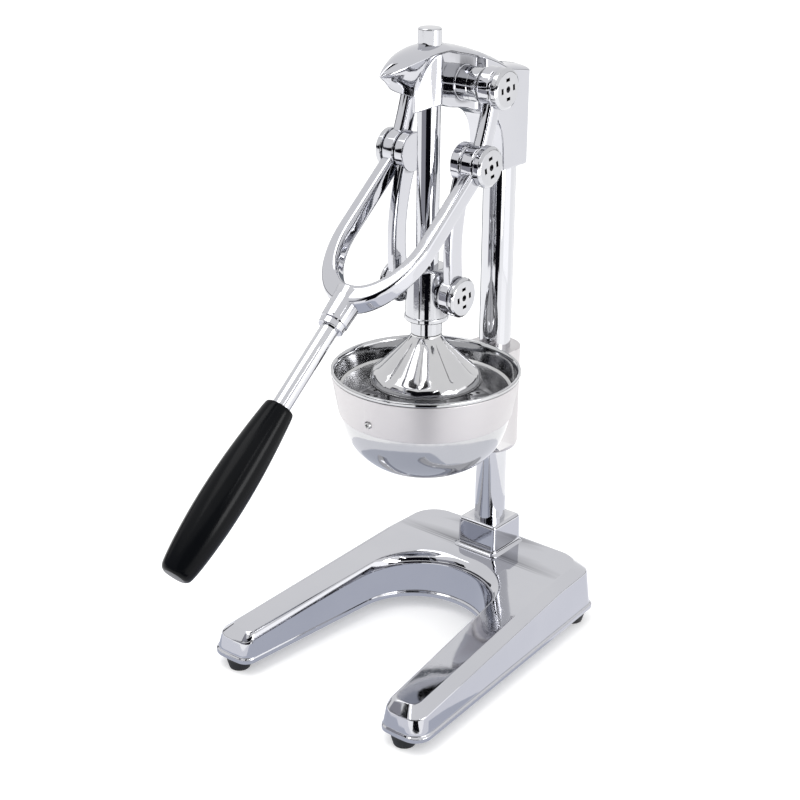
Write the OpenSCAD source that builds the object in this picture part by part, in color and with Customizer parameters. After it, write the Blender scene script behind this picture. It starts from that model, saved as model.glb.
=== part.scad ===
// Lever citrus juice press for the table top.
// Frame: the plunger axis is the Z axis, the floor is Z = 0, the handle points to -Y. Millimetres.

/* [Plunger and pivots] */
// radius of the plunger rod
rod_r = 7.6; // [6:0.1:9]
// top of the rod above the floor, press closed
rod_top = 442; // [438:1:450]
// lever pivot, distance behind the plunger axis
pivot_a_y = 26; // [24:0.5:28]
// lever pivot, height
pivot_a_z = 404.2; // [402:0.1:406]
// upper link pivot, distance behind the plunger axis
pivot_b_y = 10.2; // [9:0.1:12]
// upper link pivot, height
pivot_b_z = 356.5; // [354:0.1:359]
// lower link pivot on the plunger axis, height
pivot_c_z = 268.5; // [266:0.1:271]
// angle of the handle below the horizontal
handle_drop = 39.2; // [36:0.1:42]

/* [Column] */
// radius of the column
column_r = 11.3; // [10:0.1:13]
// distance of the column behind the plunger axis
column_y = 80.3; // [79:0.1:82]
// lower end of the column in its boss
column_bottom = 52; // [50:1:56]
// upper end of the column in the head
column_top = 384; // [370:1:388]

/* [Base] */
// underside of the base casting
base_z = 9.3; // [8:0.1:12]
// flat top of the base at the column
base_top = 45.8; // [42:0.1:50]
// fall of the top towards the front, mm for each mm
base_fall = 0.0855; // [0.06:0.005:0.1]
// wall of the casting
base_wall = 5; // [4:0.5:6]
// half width of the column boss
boss_half = 17; // [15:0.5:19]
// top of the column boss
boss_top = 68.3; // [62:0.1:74]
// foot radius
foot_r = 9.3; // [8:0.1:10]

/* [Bowl] */
// radius of the bowl's rim
rim_r = 65; // [64.5:0.1:66]
// top of the rim
rim_z = 211.5; // [211:0.1:213]
// wall of the bowl
bowl_wall = 1.4; // [1:0.1:1.8]
// radius of the outlet
outlet_r = 13; // [10:0.5:15]

/* [Press cone] */
// radius of the lower edge
cone_r = 38.3; // [36:0.1:40]
// lower edge
cone_z = 202.5; // [202:0.1:206]
// number of petals
petals = 9; // [6:1:12]
// depth of the grooves between the petals, share of the radius
petal_depth = 0.07; // [0.05:0.01:0.16]

/* [Lever] */
// radius of the round hubs
hub_r = 13.4; // [12.5:0.1:14]
// inner face of the lever hubs from the middle
lever_in = 28; // [28:0.1:28.4]
// outer face of the lever hubs
lever_out = 38; // [37:0.1:38]
// radius of the handle tube
tube_r = 6.05; // [5:0.05:7]
// start of the grip along the handle, from the upper link pivot
grip_start = 201; // [196:1:206]
// length of the grip
grip_l = 123; // [115:1:130]
// largest radius of the grip
grip_r = 14.2; // [13:0.1:15]

/* [Hidden] */
$fn = 96;
fit = 0.05;         // radial clearance of shafts in holes
pin_r = 5;          // pivot pins
axle_r = 6;         // pivot axle
link_in = 19.5;     // link faces from the middle
link_out = 27.5;
barrel_x = 9.6;     // end of the cross barrel
disc_r = 13.5;      // pin head discs
band_top = 208.7;   // ring band of the bracket
band_low = 181;
collar_r = 18.5;    // bracket collar
collar_low = 125.5;
collar_top = 205;
set_screw_z = [346, 358];
bracket_screw_z = [146, 186];
screw_z = 189;      // small screw in the front of the band
feet = [[74.7, -114], [-74.7, -114], [71, 90], [-71, 90]];

chrome = [0.86, 0.86, 0.88];
satin = [0.78, 0.77, 0.76];
steel = [0.62, 0.62, 0.64];
black = [0.05, 0.05, 0.05];

// Value at t of a table [[t, value], ...], straight between its rows.
function between(t, table, i = 0) =
    t <= table[i][0] ? table[i][1]
    : i == len(table) - 1 ? table[i][1]
    : t <= table[i + 1][0]
        ? table[i][1] + (table[i + 1][1] - table[i][1]) * (t - table[i][0]) / (table[i + 1][0] - table[i][0])
    : between(t, table, i + 1);

// Smooth curve through the rows of a table of points, n steps for each gap.
function bend(p, n) = [
    for (i = [0 : len(p) - 2]) let (
        a = p[max(i - 1, 0)], b = p[i], c = p[i + 1], d = p[min(i + 2, len(p) - 1)])
        for (k = [0 : n - 1]) let (t = k / n)
            0.5 * (2 * b + (c - a) * t + (2 * a - 5 * b + 4 * c - d) * t * t
                   + (3 * b - a - 3 * c + d) * t * t * t),
    p[len(p) - 1]];

function unit(v) = v / norm(v);

// Arc of n steps that rounds corner b = [x, y, radius] on the way from a to c.
function round_corner(a, b, c, n) = let (
    p = [b.x, b.y],
    u = unit([a.x - b.x, a.y - b.y]),
    w = unit([c.x - b.x, c.y - b.y]),
    half = acos(u * w) / 2,
    m = p + unit(u + w) * b.z / sin(half),
    s = p + u * b.z / tan(half) - m,
    e = p + w * b.z / tan(half) - m,
    turn = (s.x * e.y - s.y * e.x > 0 ? 1 : -1) * (180 - 2 * half))
    [for (i = [0 : n]) let (g = turn * i / n) m + [s.x * cos(g) - s.y * sin(g), s.x * sin(g) + s.y * cos(g)]];

// Line from a to b without its ends, k pieces.
function inner_steps(a, b, k) = [for (i = [1 : k - 1]) a + (b - a) * i / k];

// Open path: first and last row are points, the rows between are rounded corners.
function rounded_path(p, n, k) = let (
    arcs = concat([[[p[0].x, p[0].y]]],
                  [for (i = [1 : len(p) - 2]) round_corner(p[i - 1], p[i], p[i + 1], n)],
                  [[[p[len(p) - 1].x, p[len(p) - 1].y]]]))
    [for (i = [0 : len(arcs) - 1])
        each concat(arcs[i],
            i < len(arcs) - 1 ? inner_steps(arcs[i][len(arcs[i]) - 1], arcs[i + 1][0], k) : [])];

function middle(p) = [for (i = [0 : 2]) let (v = [for (q = p) q[i]]) (min(v) + max(v)) / 2];

function reversed(p) = [for (i = [len(p) - 1 : -1 : 0]) p[i]];

// Faces of the wall through rows of n points each.
function wall_faces(rows, n) = [
    for (r = [0 : rows - 2], i = [0 : n - 1]) let (j = (i + 1) % n)
        each [[r * n + i, (r + 1) * n + i, (r + 1) * n + j], [r * n + i, (r + 1) * n + j, r * n + j]]];

// Solid through closed rows of points that run anticlockwise seen from the last row.
module skin(rows) {
    n = len(rows[0]);
    last = len(rows) - 1;
    polyhedron(concat([for (row = rows) each row], [middle(rows[0]), middle(rows[last])]),
               concat([for (i = [0 : n - 1]) [(last + 1) * n, i, (i + 1) % n]],
                      wall_faces(len(rows), n),
                      [for (i = [0 : n - 1]) [(last + 1) * n + 1, last * n + (i + 1) % n, last * n + i]]));
}

// Bar of rounded section along stations [centre, side direction, up direction, half width, half height].
module swept_bar(stations, n, p) {
    skin([for (s = stations) [for (i = [0 : n - 1]) let (
        a = 360 * i / n, c = cos(a), d = sin(a))
        s[0] + s[1] * s[3] * sign(c) * pow(abs(c), 2 / p) + s[2] * s[4] * sign(d) * pow(abs(d), 2 / p)]]);
}

// Round solid about the X axis from a profile of [radius, x], for the right side.
module turned_x(profile) {
    rotate([0, 90, 0]) rotate_extrude() polygon(profile);
}

module both_sides() {
    children();
    mirror([1, 0, 0]) children();
}

// ---- base ----

// Outline of the base from the tip of the right foot: t = 0 at the flange, t = 1 at the top, w is an inset.
function base_half(outer, t, w) =
    outer
    ? rounded_path([[75.5 - 1.8 * t, -124 + 10.3 * t + w, 0],
                    [95.2 - 11.9 * t - w, -123.3 + 10.3 * t + w, 12 - 6 * t - min(w, 2)],
                    [81.2 - 10.2 * t - w, 104.8 - 4 * t - w, 8 + 12 * t],
                    [0, 105.6 - 3.6 * t - w, 0]], 8, 5)
    : rounded_path([[75.5 - 1.8 * t, -124 + 10.3 * t + w, 0],
                    [59.1 + 5.2 * t + w, -123.3 + 10.3 * t + w, 9 - 4 * t - min(w, 2)],
                    [46.15 + 1.85 * t + w, 40 + 11 * t + w, 49.5 - 4.5 * t + w / 2],
                    [0, 40 + 11 * t + w, 0]], 8, 5);

function base_full(outer, t, w) = let (h = base_half(outer, t, w))
    concat(h, [for (i = [len(h) - 2 : -1 : 0]) [-h[i].x, h[i].y]]);

function top_height(y, w) = base_top - w - base_fall * max(0, 60 - y);

// One level of the base: height above the flange, or below the top when from_top.
function base_row(t, w, z, from_top) = let (o = base_full(true, t, w), i = base_full(false, t, w))
    [for (p = concat(o, [for (k = [len(i) - 2 : -1 : 1]) i[k]])) [p.x, p.y, from_top ? top_height(p.y, w) - z : z]];

module base_body(rows) {
    n = len(rows[0]);
    m = n / 2 + 1;
    last = (len(rows) - 1) * n;
    function inside(i) = i == 0 || i == m - 1 ? i : n - i;
    polyhedron([for (row = rows) each row],
        concat(wall_faces(len(rows), n),
               [for (i = [0 : m - 2]) each concat(
                   i < m - 2 ? [[i, i + 1, inside(i + 1)], [last + i + 1, last + i, last + inside(i + 1)]] : [],
                   i > 0 ? [[i, inside(i + 1), inside(i)], [last + i, last + inside(i), last + inside(i + 1)]] : [])]));
}

// lip, drafted wall and rounded shoulder; the hollow below has plain walls
base_rows = [base_row(0, 0, base_z, false), base_row(0, 0, base_z + 3, false), base_row(0.13, 0, base_z + 4.2, false),
             base_row(0.33, 0, 6.3, true), base_row(0.45, 0, 4.2, true), base_row(0.7, 0, 1.5, true),
             base_row(0.88, 0, 0.35, true), base_row(1, 0, 0, true)];
hollow_rows = [base_row(0, base_wall, base_z - 1, false), base_row(0.13, base_wall, base_z + 3, false),
               base_row(0.33, base_wall, 5, true), base_row(1, base_wall, 0, true)];

module base() color(chrome) difference() {
    union() {
        difference() {
            base_body(base_rows);
            difference() {
                base_body(hollow_rows);
                // solid below the column, and a post above each foot
                translate([-24, 55, 0]) cube([48, 60, 80]);
                for (f = feet) translate([f.x, f.y, 0]) cylinder(r = 8, h = 60);
            }
        }
        // boss of the column: flared foot, square block, chamfered top
        translate([0, column_y, 0]) {
            skin([for (s = [[44, boss_half + 2.2], [45.9, boss_half + 1.6], [47.2, boss_half + 0.5], [49, boss_half],
                            [boss_top - 1.8, boss_half - 0.4], [boss_top - 0.5, boss_half - 1], [boss_top, boss_half - 2]])
                let (c = s[1] - 2.6)
                [for (q = [[s[1], -c], [s[1], c], [c, s[1]], [-c, s[1]], [-s[1], c], [-s[1], -c], [-c, -s[1]], [c, -s[1]]])
                    [q.x, q.y, s[0]]]]);
        }
    }
    translate([0, column_y, column_bottom]) cylinder(r = column_r + fit, h = 40);
    // bolt hole and pocket for its head
    translate([0, column_y, 0]) cylinder(r = 5.6, h = 60);
    translate([0, column_y, 0]) cylinder(r = 14, h = 27);
    for (f = feet) translate([f.x, f.y, 0]) cylinder(r = 2.1, h = base_z + 14);
}

module feet() color(black) for (f = feet) translate([f.x, f.y, 0]) rotate_extrude() polygon([
    [5.4, 0], [foot_r - 2.2, 0], [foot_r - 1.2, 0.6], [foot_r - 0.1, 6.6], [foot_r, base_z - 0.02],
    [2.2, base_z - 0.02], [2.2, 4.6], [5.4, 4.6]]);

module foot_screws() color(steel) for (f = feet) translate([f.x, f.y, 0]) {
    difference() {
        translate([0, 0, 1.8]) cylinder(r = 4.6, h = 2.7);
        translate([-0.5, -3, 1.2]) cube([1, 6, 1.6]);
        translate([-3, -0.5, 1.2]) cube([6, 1, 1.6]);
    }
    translate([0, 0, 4.4]) cylinder(r = 2, h = base_z + 7);
}

// ---- column ----

module column() color(chrome) difference() {
    union() {
        translate([0, column_y, column_bottom + 0.1]) cylinder(r = column_r, h = column_top - column_bottom - 1);
        translate([0, column_y, column_top - 1]) cylinder(r1 = column_r, r2 = column_r - 1, h = 1);
    }
    translate([0, column_y, column_bottom - 1]) cylinder(r = 5.05, h = 37);
    // seats of the set screws
    for (z = set_screw_z) translate([0, column_y + column_r - 2.5, z]) rotate([-90, 0, 0]) cylinder(r = 2.55, h = 9);
}

module column_bolt() color(steel) translate([0, column_y, 0]) {
    difference() {
        translate([0, 0, 16.2]) cylinder(r = 9, h = 8.2, $fn = 6);
        translate([0, 0, 15.2]) cylinder(r = 5, h = 2);
    }
    translate([0, 0, 24.3]) cylinder(r = 5, h = 58);
}

module column_washer() color(steel) translate([0, column_y, 24.5]) difference() {
    cylinder(r = 11, h = 2.4);
    translate([0, 0, -1]) cylinder(r = 5.3, h = 5);
}

// ---- head ----

head_top = [[-49.5, 418.9], [-46, 421.8], [-39.8, 425.4], [-30, 429], [-20, 431], [-12, 432], [-4, 432.4],
            [4, 432.2], [15.8, 429.9], [34.3, 424.9], [54, 417.4], [69.5, 410.4], [84, 407.4], [93.1, 405.6]];
head_crease_w = [[-49.5, 0.5], [-46, 2.6], [-40, 5.4], [-35, 7.2], [-28, 9.4], [-20, 11], [-12, 11.8], [-4, 12],
                 [12, 11.4], [24, 11.3], [37, 11.5], [43.5, 14.3], [93.1, 14.3]];
head_crease_z = [[-49.5, 418.4], [-46, 419], [-37, 421.2], [-28, 423.8], [-17, 426.2], [-5, 427.6], [6, 427.4],
                 [15.8, 425], [34.3, 420.2], [54, 413.2], [69.5, 406.6], [84, 403.8], [93.1, 402]];
head_side_w = [[-49.5, 0.25], [-40, 0.7], [-16.2, 0.9], [-15.3, 1.3], [0.2, 10.4], [4, 9.9], [12, 9.1], [24, 8.6],
               [37.5, 8.8], [43.5, 14.1], [93.1, 14.1]];
head_flare_z = [[-49.5, 418.1], [-45, 415.4], [-39.7, 410.4], [-30.8, 406.2], [-20, 402.6], [-15.3, 401.2],
                [-9.6, 415], [-3.5, 424.6], [0.2, 426.2], [6, 426.2], [15.8, 424], [34.3, 419.4], [54, 412.6],
                [69.5, 406], [84, 403.2], [93.1, 401.4]];
head_low_z = [[-49.5, 417.9], [-45, 414.6], [-39.7, 409.4], [-30.8, 405.2], [-20, 401.4], [-15.8, 400],
              [-15.3, 390], [0, 393.4], [12, 390], [30, 386.4], [38, 383.6], [45, 381.6], [52, 378.6], [57, 374.4],
              [60.5, 369], [62.8, 362], [64.4, 352], [65.2, 338], [93.1, 338]];

// Outline of the head at depth y, rising on the right side and falling on the left.
function head_row(y, pull) = let (
    w = between(y, head_side_w) - pull,
    c = between(y, head_crease_w) - pull,
    z0 = between(y, head_low_z),
    z1 = between(y, head_flare_z),
    z2 = between(y, head_crease_z) - pull,
    z3 = between(y, head_top) - pull,
    right = concat([for (s = [0, 0.5, 1]) [w, z0 + (z1 - z0) * s]],
                   [for (s = [0.4, 0.75]) [w + (c - w) * s * s, z1 + (z2 - z1) * s]],
                   [for (a = [0 : 15 : 75]) [c * cos(a), z2 + (z3 - z2) * sin(a)]]))
    concat([for (q = right) [q.x, y, q.y]], [[0, y, z3]],
           [for (i = [len(right) - 1 : -1 : 0]) [-right[i].x, y, right[i].y]]);

head_stations = [-49.5, -48, -46, -43, -39.7, -35, -30.8, -26, -22, -18.5, -15.8, -15.3, -13.5, -11.5, -9.6, -7.5,
                 -5.5, -3.5, -1.5, 0.2, 2, 4, 7, 10, 13, 16, 20, 24, 27, 30, 33, 35.5, 37.5, 39.5, 41.5, 43.5, 45, 48, 52, 54.6, 57, 59,
                 60.5, 61.7, 62.8, 63.6, 64.4, 65.2, 69.5, 75, 80, 84, 88];

module head_casting() color(chrome) difference() {
    union() {
        skin(reversed(concat([for (y = head_stations) head_row(y, 0)],
                             [head_row(91.3, 0), head_row(92.4, 0.4), head_row(93.1, 1.3)])));
        // cross barrel of the lever pivot with a ring at each end
        translate([-barrel_x + 1, pivot_a_y, pivot_a_z]) rotate([0, 90, 0]) cylinder(r = 11.3, h = 2 * barrel_x - 2);
        both_sides() translate([0, pivot_a_y, pivot_a_z])
            turned_x([[0, 5.2], [11.4, 5.2], [12, 5.8], [12, barrel_x - 0.7], [11.4, barrel_x], [0, barrel_x]]);
    }
    translate([0, 0, 370]) cylinder(r = rod_r + fit, h = 90);
    translate([0, column_y, 330]) cylinder(r = column_r + fit, h = column_top - 329.8);
    translate([-40, pivot_a_y, pivot_a_z]) rotate([0, 90, 0]) cylinder(r = axle_r + 0.03, h = 80);
    // room for the bushes beside the barrel
    both_sides() translate([barrel_x, pivot_a_y, pivot_a_z]) rotate([0, 90, 0]) cylinder(r = 12.3, h = 20);
    for (z = set_screw_z) translate([0, column_y, z]) rotate([-90, 0, 0]) cylinder(r = 2.55, h = 20);
}

// Grub screw along +Y with a six-sided socket, length h.
module grub(r, h) difference() {
    rotate([-90, 0, 0]) cylinder(r = r, h = h);
    translate([0, h + 0.01, 0]) rotate([90, 0, 0]) cylinder(r = r * 0.5, h = r, $fn = 6);
}

module head_set_screws() color(steel)
    for (z = set_screw_z) translate([0, column_y + column_r - 2.45, z]) grub(2.5, 3.9);

module pivot_axle() color(steel) translate([-38.35, pivot_a_y, pivot_a_z]) rotate([0, 90, 0])
    cylinder(r = axle_r, h = 76.7);

// Disc head for the right side: rounded edge, centre ring and three spanner marks; x0 to x1.
module disc_head(x0, x1, r, face, turn) difference() {
    turned_x([[0, x0], [r - 0.5, x0], [r, x0 + 0.5], [r, x1 - 1.6], [r - 0.5, x1 - 0.6], [face, x1], [0, x1]]);
    translate([x1 - 0.35, 0, 0]) rotate([0, 90, 0]) difference() {
        cylinder(r = 4.5, h = 1);
        translate([0, 0, -0.5]) cylinder(r = 3.7, h = 2);
    }
    for (a = [turn : 120 : turn + 240]) rotate([a, 0, 0])
        translate([x1 - 0.9, 6.2, -1]) cube([2, 2.4, 2]);
}

module axle_end_caps() color(chrome)
    both_sides() translate([0, pivot_a_y, pivot_a_z]) disc_head(38.4, 43.3, disc_r, 11, 20);

module spacer_bushes() color(chrome) both_sides() translate([0, pivot_a_y, pivot_a_z])
    turned_x([[axle_r + 0.03, 9.7], [11.2, 9.7], [11.2, 17.9], [10.9, 18.1], [11.2, 18.3], [11.2, 24.2], [11.9, 24.5],
              [11.9, 25.5], [11.6, 25.8], [axle_r + 0.03, 25.8]]);

module thrust_washers() color(steel) both_sides() translate([0, pivot_a_y, pivot_a_z])
    turned_x([[axle_r + 0.03, 25.85], [10.6, 25.85], [11, 26.2], [11, 27.35], [10.6, 27.7], [axle_r + 0.03, 27.7]]);

// ---- lever ----

// Handle frame: origin at the upper link pivot, -Y along the handle, Z square to it.
module along_handle() translate([0, pivot_b_y, pivot_b_z]) rotate([handle_drop, 0, 0]) children();

// Station of the fork at angle a: a = 0 where the tines start to bend, a = 90 in the crotch.
function fork_station(a) = let (
    inner = [lever_in * cos(a), -67 - 42.6 * sin(a)],
    outer = [lever_out * cos(a), -67 - 57 * sin(a)],
    d = unit(outer - inner), f = a / 90)
    [[(inner.x + outer.x) / 2, (inner.y + outer.y) / 2, -0.8 + 0.8 * f], [d.x, d.y, 0], [0, 0, 1],
     norm(outer - inner) / 2, 6.2 + 2.2 * f * f];

function tine_station(y) = [[(lever_in + lever_out) / 2, y, -0.8], [1, 0, 0], [0, 0, 1], (lever_out - lever_in) / 2, 6.2];

fork_right = concat([for (y = [-2, -24, -46]) tine_station(y)], [for (a = [0 : 9 : 90]) fork_station(a)]);
fork_left = [for (i = [len(fork_right) - 2 : -1 : 0]) let (s = fork_right[i])
    [[-s[0].x, s[0].y, s[0].z], [-s[1].x, s[1].y, 0], s[2], s[3], s[4]]];

module crank() let (
    a = [pivot_a_y, pivot_a_z], b = [pivot_b_y, pivot_b_z], d = unit(a - b), s = [-d.y, d.x])
    translate([lever_in, 0, 0]) rotate([90, 0, 90]) linear_extrude(lever_out - lever_in)
        polygon([b + s * 7.6, b - s * 7.6, b - s * 6.6 + d * 16, a - s * 6.2 - d * 16, a - s * 7, a + s * 7,
                 a + s * 6.2 - d * 16, b + s * 6.6 + d * 16]);

module lever_yoke() color(chrome) difference() {
    union() {
        along_handle() {
            swept_bar(concat(fork_right, fork_left), 20, 4);
            translate([0, -113, 0]) rotate([90, 0, 0]) rotate_extrude() polygon([
                [0, 0], [10.6, 0], [10.4, 3], [10, 6], [9.5, 20], [9.5, 22.2], [8.9, 22.9], [8.75, 23.5], [8.75, 26.8],
                [8.2, 27.5], [0, 27.5]]);
        }
        both_sides() {
            crank();
            for (p = [[pivot_a_y, pivot_a_z], [pivot_b_y, pivot_b_z]]) translate([0, p.x, p.y])
                turned_x([[0, lever_in], [hub_r - 0.8, lever_in], [hub_r, lever_in + 0.8], [hub_r, lever_out - 2.6],
                          [hub_r - 0.8, lever_out - 0.8], [hub_r - 2.6, lever_out], [0, lever_out]]);
        }
    }
    translate([-50, pivot_a_y, pivot_a_z]) rotate([0, 90, 0]) cylinder(r = axle_r + 0.06, h = 100);
    both_sides() translate([lever_in - 1, pivot_b_y, pivot_b_z]) rotate([0, 90, 0]) cylinder(r = pin_r + fit, h = 20);
    along_handle() translate([0, -118, 0]) rotate([90, 0, 0]) cylinder(r = tube_r + fit, h = 30);
}

module lever_tube() color(chrome) along_handle() translate([0, -118.1, 0]) rotate([90, 0, 0]) difference() {
    cylinder(r = tube_r, h = 182);
    translate([0, 0, -1]) cylinder(r = tube_r - 1.5, h = 190);
}

module grip() color(black) along_handle() translate([0, -grip_start, 0]) rotate([90, 0, 0]) rotate_extrude()
    polygon(concat([[tube_r + fit, 0]],
        [for (p = bend([[8.6, 0.2], [9.7, 1.6], [10.6, 8], [12.2, 24], [13.6, 44], [grip_r, 64], [13.9, 84],
                        [12.6, 104], [11, 117], [9.6, 121.4], [7.4, 123]], 3)) [p.x, p.y * grip_l / 123]],
        [[0, grip_l], [0, 102.5], [tube_r + fit, 102.5]]));

module upper_pins() color(chrome) both_sides() translate([0, pivot_b_y, pivot_b_z]) {
    disc_head(38.1, 43.3, disc_r, 11.6, 75);
    translate([lever_in - 0.05, 0, 0]) rotate([0, 90, 0]) cylinder(r = pin_r, h = 10.3);
}

// ---- links ----

module link_body() let (
    c = [0, pivot_c_z], b = [pivot_b_y, pivot_b_z], d = unit(b - c), s = [-d.y, d.x], n = 12) difference() {
    union() {
        translate([link_in + 0.6, 0, 0]) rotate([90, 0, 90]) linear_extrude(link_out - link_in - 1.2)
            polygon(concat(
                [for (i = [0 : n]) let (t = i / n) c + (b - c) * t + s * (7.5 * 4 * t * (1 - t) + 6.9 + 1.2 * pow(2 * t - 1, 2))],
                [for (i = [n : -1 : 0]) let (t = i / n) c + (b - c) * t + s * (7.5 * 4 * t * (1 - t) - 6.9 - 1.2 * pow(2 * t - 1, 2))]));
        for (p = [c, b]) translate([0, p.x, p.y])
            turned_x([[0, link_in], [hub_r - 0.8, link_in], [hub_r, link_in + 0.8], [hub_r, link_out - 2.2],
                      [hub_r - 0.7, link_out - 0.7], [hub_r - 2.2, link_out], [0, link_out]]);
    }
    translate([link_in - 2, 0, pivot_c_z]) rotate([0, 90, 0]) cylinder(r = pin_r + fit, h = 20);
}

module link_right() color(chrome) link_body();
module link_left() color(chrome) mirror([1, 0, 0]) link_body();

module lower_pins() color(chrome) both_sides() translate([0, 0, pivot_c_z]) {
    disc_head(27.8, 31.4, disc_r, 11.8, 50);
    translate([rod_r + 1.6, 0, 0]) rotate([0, 90, 0]) cylinder(r = pin_r, h = 28.2 - rod_r - 1.6);
}

// ---- plunger ----

module crosshead() color(chrome) difference() {
    union() {
        rotate_extrude() polygon([[0, 247.4], [14.2, 247.4], [14.9, 248.2], [14.9, 250], [14.3, 250.8], [14.3, 282.5],
                                  [13.6, 284.2], [12, 285], [0, 285]]);
        both_sides() translate([0, 0, pivot_c_z])
            turned_x([[0, 8], [7.4, 12], [7.6, 13.5], [8.6, 15.2], [10.4, 16.8], [11.6, 17.8], [12, 18.6], [11.8, 19.2],
                      [0, 19.2]]);
    }
    translate([0, 0, 240]) cylinder(r = rod_r + fit, h = 60);
    both_sides() translate([rod_r + 1.5, 0, pivot_c_z]) rotate([0, 90, 0]) cylinder(r = pin_r + fit, h = 20);
    translate([0, rod_r - 1, 255]) rotate([-90, 0, 0]) cylinder(r = 2.55, h = 20);
}

module crosshead_screw() color(steel) translate([0, rod_r + 0.02, 255]) grub(2.5, 6.2);

module plunger_rod() color(chrome) union() {
    translate([0, 0, 232]) cylinder(r = rod_r, h = rod_top - 1.2 - 232);
    translate([0, 0, rod_top - 1.2]) cylinder(r1 = rod_r, r2 = rod_r - 1.2, h = 1.2);
}

module cone_collar() color(chrome) difference() {
    rotate_extrude() polygon([[0, 237.4], [10.1, 237.4], [10.5, 237.8], [10.5, 246.4], [10, 247], [0, 247]]);
    translate([0, 0, 230]) cylinder(r = rod_r + fit, h = 30);
}

cone_out = bend([[cone_r, 0], [cone_r - 0.2, 2.6], [36.4, 6.8], [32.6, 10.4], [25, 17.8], [19, 23.8], [14, 28.7],
                 [11.8, 31.4], [10.4, 33.6]], 2);
cone_in = [[9, 28], [14.6, 25.2], [25.2, 14.4], [32.6, 7.2], [35.2, 3.4], [cone_r - 2, 0.2]];

// 1 on the ridge of a petal, 0 in the groove.
function petal(a) = pow(abs(cos(a * petals / 2)), 0.5);

// Ring of the press cone, n points; the grooves fade at the neck and at the lower edge.
function cone_ring(r, z, n) = let (share = between(r, [[11, 0], [17, 1], [32, 1], [cone_r, 0.15]]))
    [for (i = [0 : n - 1]) let (a = 360 * i / n, q = r * (1 - petal_depth * share * (1 - petal(a))))
        [q * cos(a), q * sin(a), cone_z + z]];

module press_cone() color(chrome) difference() {
    union() {
        skin([for (p = concat(cone_in, cone_out)) cone_ring(p.x, p.y, petals * 10)]);
        translate([0, 0, cone_z + 28]) cylinder(r = 10.5, h = 237.2 - cone_z - 28);
    }
    translate([0, 0, 231.8]) cylinder(r = rod_r + fit, h = 20);
}

// ---- bowl ----

// Outside of the bowl from the outlet to the flange below the rim, [radius, height].
bowl_out = concat(
    bend([[outlet_r, 141], [22, 141.5], [29, 142.6], [35.2, 144.6], [41.4, 148.4], [46.8, 153.2], [51, 158.2],
          [54, 163.4], [56.2, 169.4], [57.8, 175.4], [58.8, 181.3]], 2),
    [[62.6, band_top + 0.1]]);

// Path moved sideways by w, to the left of its direction.
function moved(p, w) = [for (i = [0 : len(p) - 1]) let (
    d = unit(p[min(i + 1, len(p) - 1)] - p[max(i - 1, 0)])) p[i] + w * [-d.y, d.x]];

module bowl() color(chrome) difference() {
    rotate_extrude() polygon(concat(bowl_out,
        [[rim_r - 0.4, band_top + 0.1], [rim_r, band_top + 0.6], [rim_r, rim_z - 0.6], [rim_r - 0.6, rim_z],
         [rim_r - 1.6, rim_z], [62.6 - bowl_wall + 0.3, rim_z - 1.6]],
        reversed(moved(bowl_out, bowl_wall))));
    translate([0, 0, screw_z]) rotate([90, 0, 0]) cylinder(r = 1.55, h = 70);
}

// Top side of the strainer from the rim to the middle, [radius, height].
strainer_top = concat(
    [[59.3, 198.2], [57.4, 197], [54.6, 190], [52.6, 184.6], [50.4, 182.8], [33.6, 182.8]],
    bend([[31.6, 184], [30.4, 190], [28, 200], [23.5, 208], [16.5, 214.4], [8.5, 218.3], [0, 219.5]], 2));

module strainer() color(steel) difference() {
    union() {
        rotate_extrude() polygon(concat(strainer_top, reversed(concat(
            [for (p = moved(strainer_top, 1)) if (p.x > 0.5 && p.x < 59) p], [[0, 218.5]])), [[59.3, 197.2]]));
        // ribs of the dome
        for (a = [22.5 : 45 : 340]) rotate([90, 0, a]) translate([0, 0, -1]) linear_extrude(2) polygon([
            [31.8, 183.4], [32.2, 190], [30, 200.6], [25, 209.2], [17.6, 216], [9, 219.8], [3, 220.6], [3, 218.6],
            [15, 213.5], [22, 207.5], [27, 199.5], [30, 189], [30.6, 183.4]]);
    }
    for (k = [0 : 29]) rotate([0, 0, k * 12]) {
        translate([38.4, 0, 178]) cylinder(r = 1.6, h = 9);
        translate([44.6, 0, 178]) rotate([0, 0, 6]) cylinder(r = 1.6, h = 9);
    }
}

module bowl_bracket() color(satin) difference() {
    union() {
        rotate_extrude() polygon([[50, band_low], [59.9, band_low], [60.3, band_low + 0.5], [64.8, band_top - 0.5],
                                  [64.4, band_top], [50, band_top]]);
        // collar round the column, rounded at its lower end
        translate([0, column_y, 0]) rotate_extrude() polygon([
            [0, collar_low], [collar_r - 4, collar_low], [collar_r - 2, collar_low + 1], [collar_r - 0.6, collar_low + 3],
            [collar_r, collar_low + 6], [collar_r, collar_top], [0, collar_top]]);
        // web from the collar to the band
        translate([-collar_r, 0, 0]) rotate([90, 0, 90]) linear_extrude(2 * collar_r) polygon([
            [column_y, collar_low + 5.5], [column_y - 16, collar_low + 6], [46, 149.5], [46, collar_top],
            [column_y, collar_top]]);
    }
    // room for the bowl
    rotate_extrude() polygon(concat([[0, 136], [outlet_r, 138]], moved(bowl_out, -0.3), [[63, 215], [0, 215]]));
    translate([0, column_y, 120]) cylinder(r = column_r + fit, h = 100);
    translate([0, 0, screw_z]) rotate([90, 0, 0]) {
        cylinder(r = 1.55, h = 70);
        translate([0, 0, 61]) cylinder(r = 2.9, h = 9);
    }
    for (z = bracket_screw_z) translate([0, column_y, z]) rotate([-90, 0, 0]) cylinder(r = 3.05, h = 30);
}

module bracket_screws() color(steel)
    for (z = bracket_screw_z) translate([0, column_y + column_r + 0.02, z]) grub(3, 6);

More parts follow.
